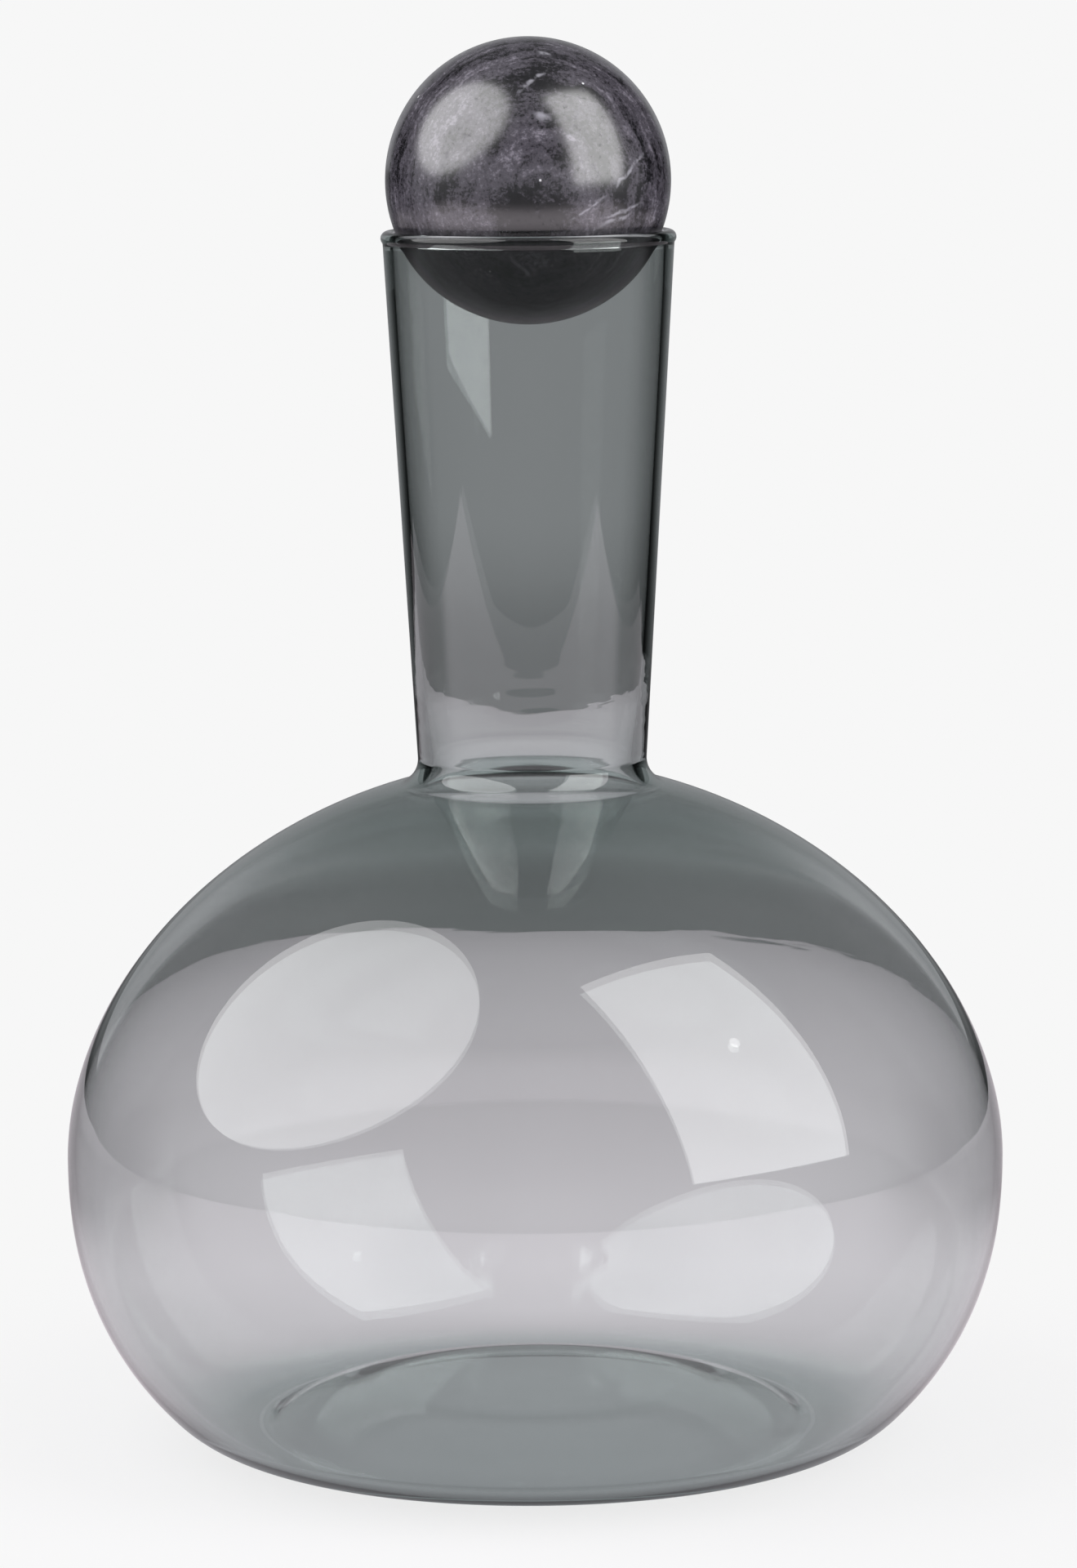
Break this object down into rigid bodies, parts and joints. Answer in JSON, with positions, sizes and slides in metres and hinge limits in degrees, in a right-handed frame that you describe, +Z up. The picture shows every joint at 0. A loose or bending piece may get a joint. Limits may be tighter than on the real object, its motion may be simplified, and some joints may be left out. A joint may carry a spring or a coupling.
{
  "type": "carafe with ball stopper",
  "caption": "Squat round glass carafe with a tall neck widening to a beaded mouth, a pushed-up base and a loose marble ball that rests in the mouth as its stopper.",
  "frame": {"origin": "middle of the flat ring that the carafe stands on", "axes": "+Z up along the neck's axis, towards the stopper; every side is alike"},
  "size_m": [0.183, 0.183, 0.2737],
  "materials": {
    "smoked_glass": "clear gloss",
    "polished_marble": "polished"
  },
  "bodies": {
    "vessel": {"glass_vessel": "smoked_glass"},
    "stopper": {"ball_stopper": "polished_marble"}
  },
  "joints": [
    {"name": "stopper_lift", "type": "slide", "parent": "vessel", "child": "stopper", "axis": [0, 0, 1], "range_m": [0, 0.08]}
  ]
}
